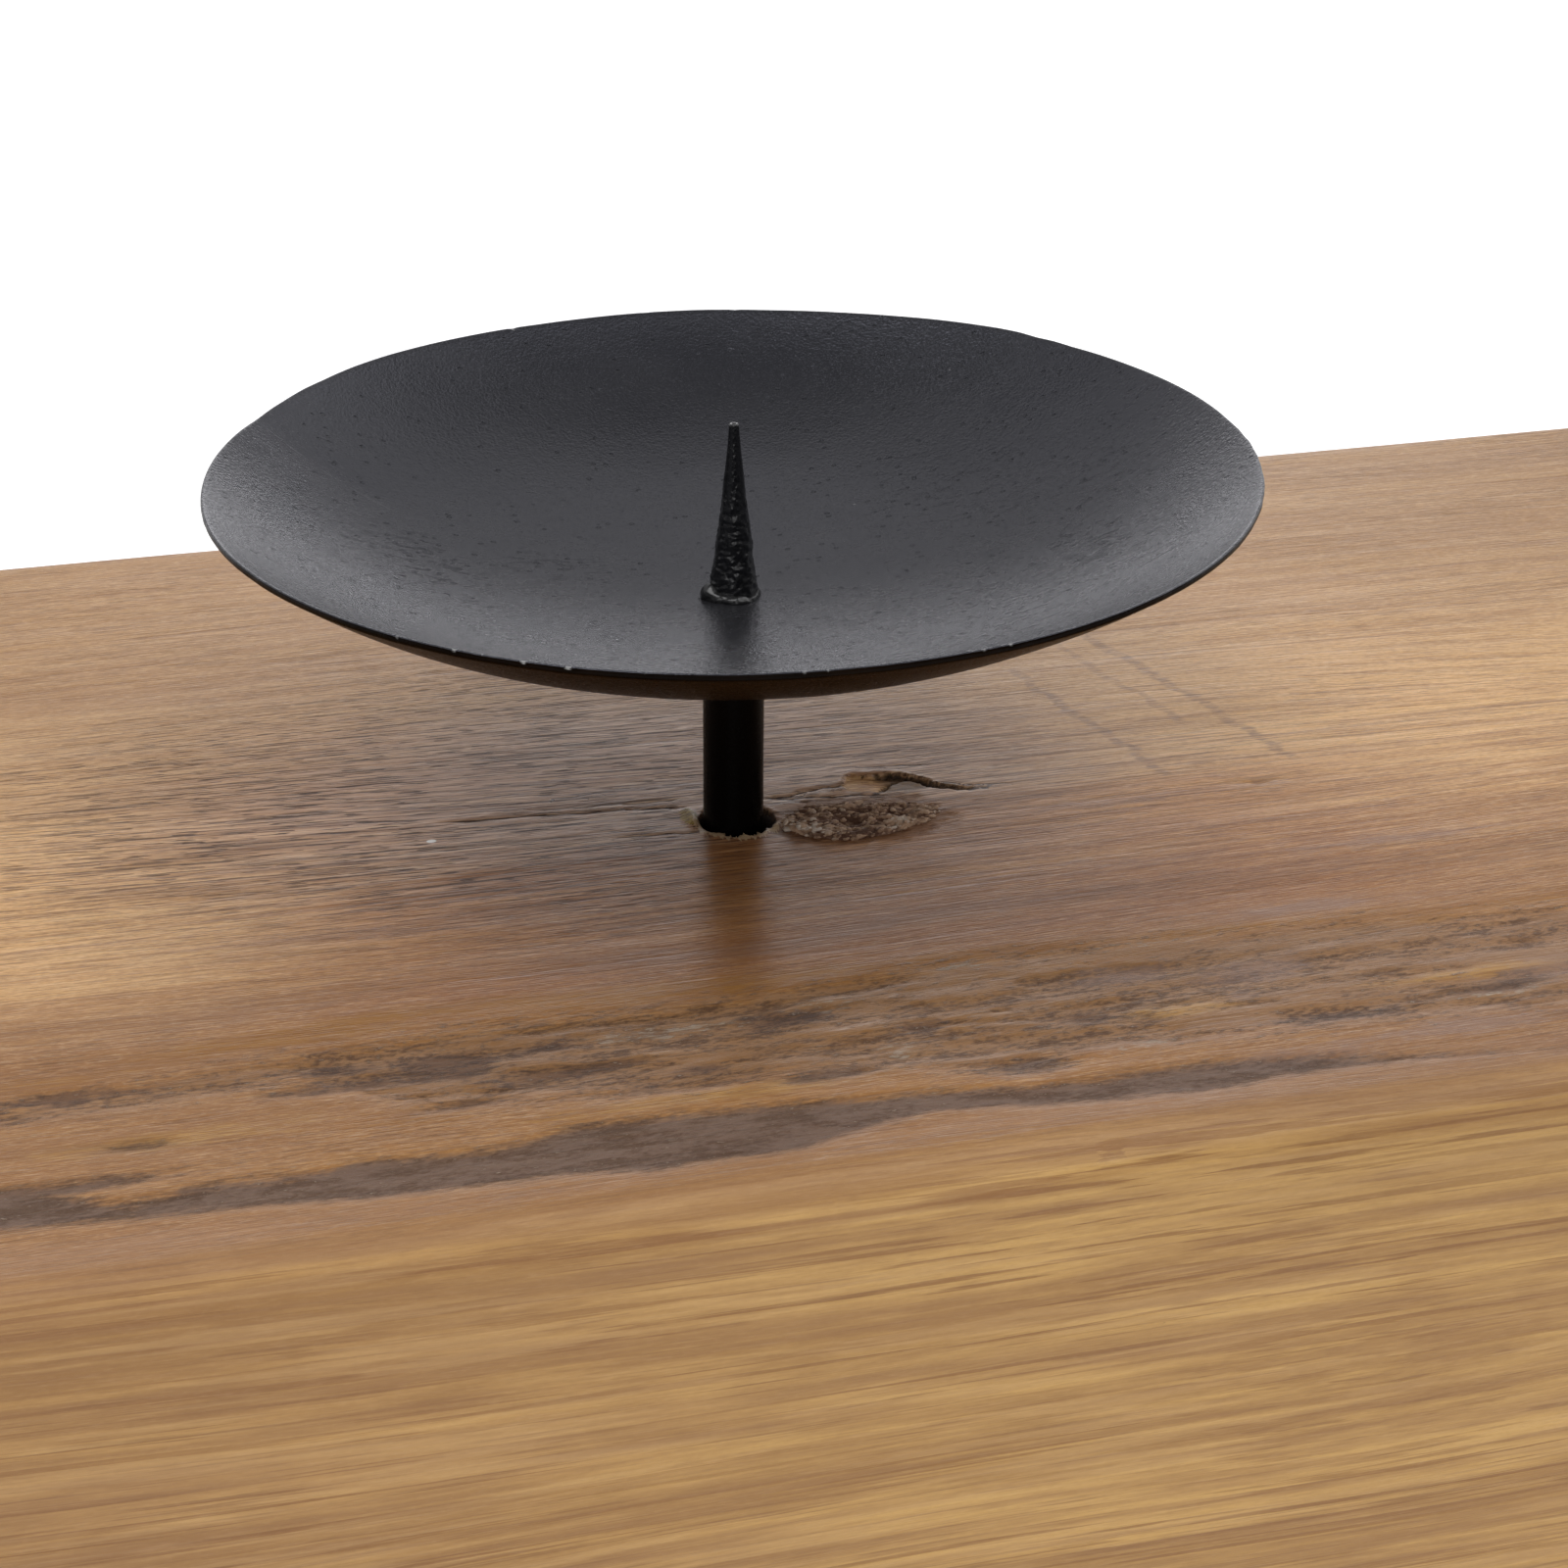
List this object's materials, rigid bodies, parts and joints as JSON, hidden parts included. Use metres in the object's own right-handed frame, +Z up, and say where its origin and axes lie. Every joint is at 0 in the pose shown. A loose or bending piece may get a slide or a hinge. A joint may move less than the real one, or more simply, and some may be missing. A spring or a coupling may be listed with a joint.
{
  "type": "pricket candle stand",
  "caption": "Squared timber beam with a drilled socket that holds a lift-out black steel pricket: round stem, shallow drip dish and tapered spike for a candle.",
  "frame": {"origin": "centre of the beam's flat underside, on the surface it stands on", "axes": "+Z up along the stem, +X along the beam to the right, -Y to the front"},
  "size_m": [0.3, 0.157, 0.1116],
  "materials": {
    "timber": "reclaimed hardwood, planed and lightly lacquered, golden brown with grey-brown weathered streaks",
    "filler": "crumbly pale wood filler, dry and rough",
    "black_paint": "smooth satin black paint on steel bar",
    "dish_black": "satin black paint with fine orange peel and pinholes, chipped to grey along the rim",
    "weld_black": "lumpy weld bead under glossy black paint",
    "spike_black": "glossy black paint over coarse turned ridges"
  },
  "bodies": {
    "base": {"wood_base": "timber", "wood_filler": "filler"},
    "pricket": {"stem_rod": "black_paint", "stem_weld": "weld_black", "drip_dish": "dish_black", "spike_weld": "weld_black", "pricket_spike": "spike_black"}
  },
  "joints": [
    {"name": "pricket_lift", "type": "slide", "parent": "base", "child": "pricket", "axis": [0, 0, 1], "range_m": [0, 0.036]}
  ]
}
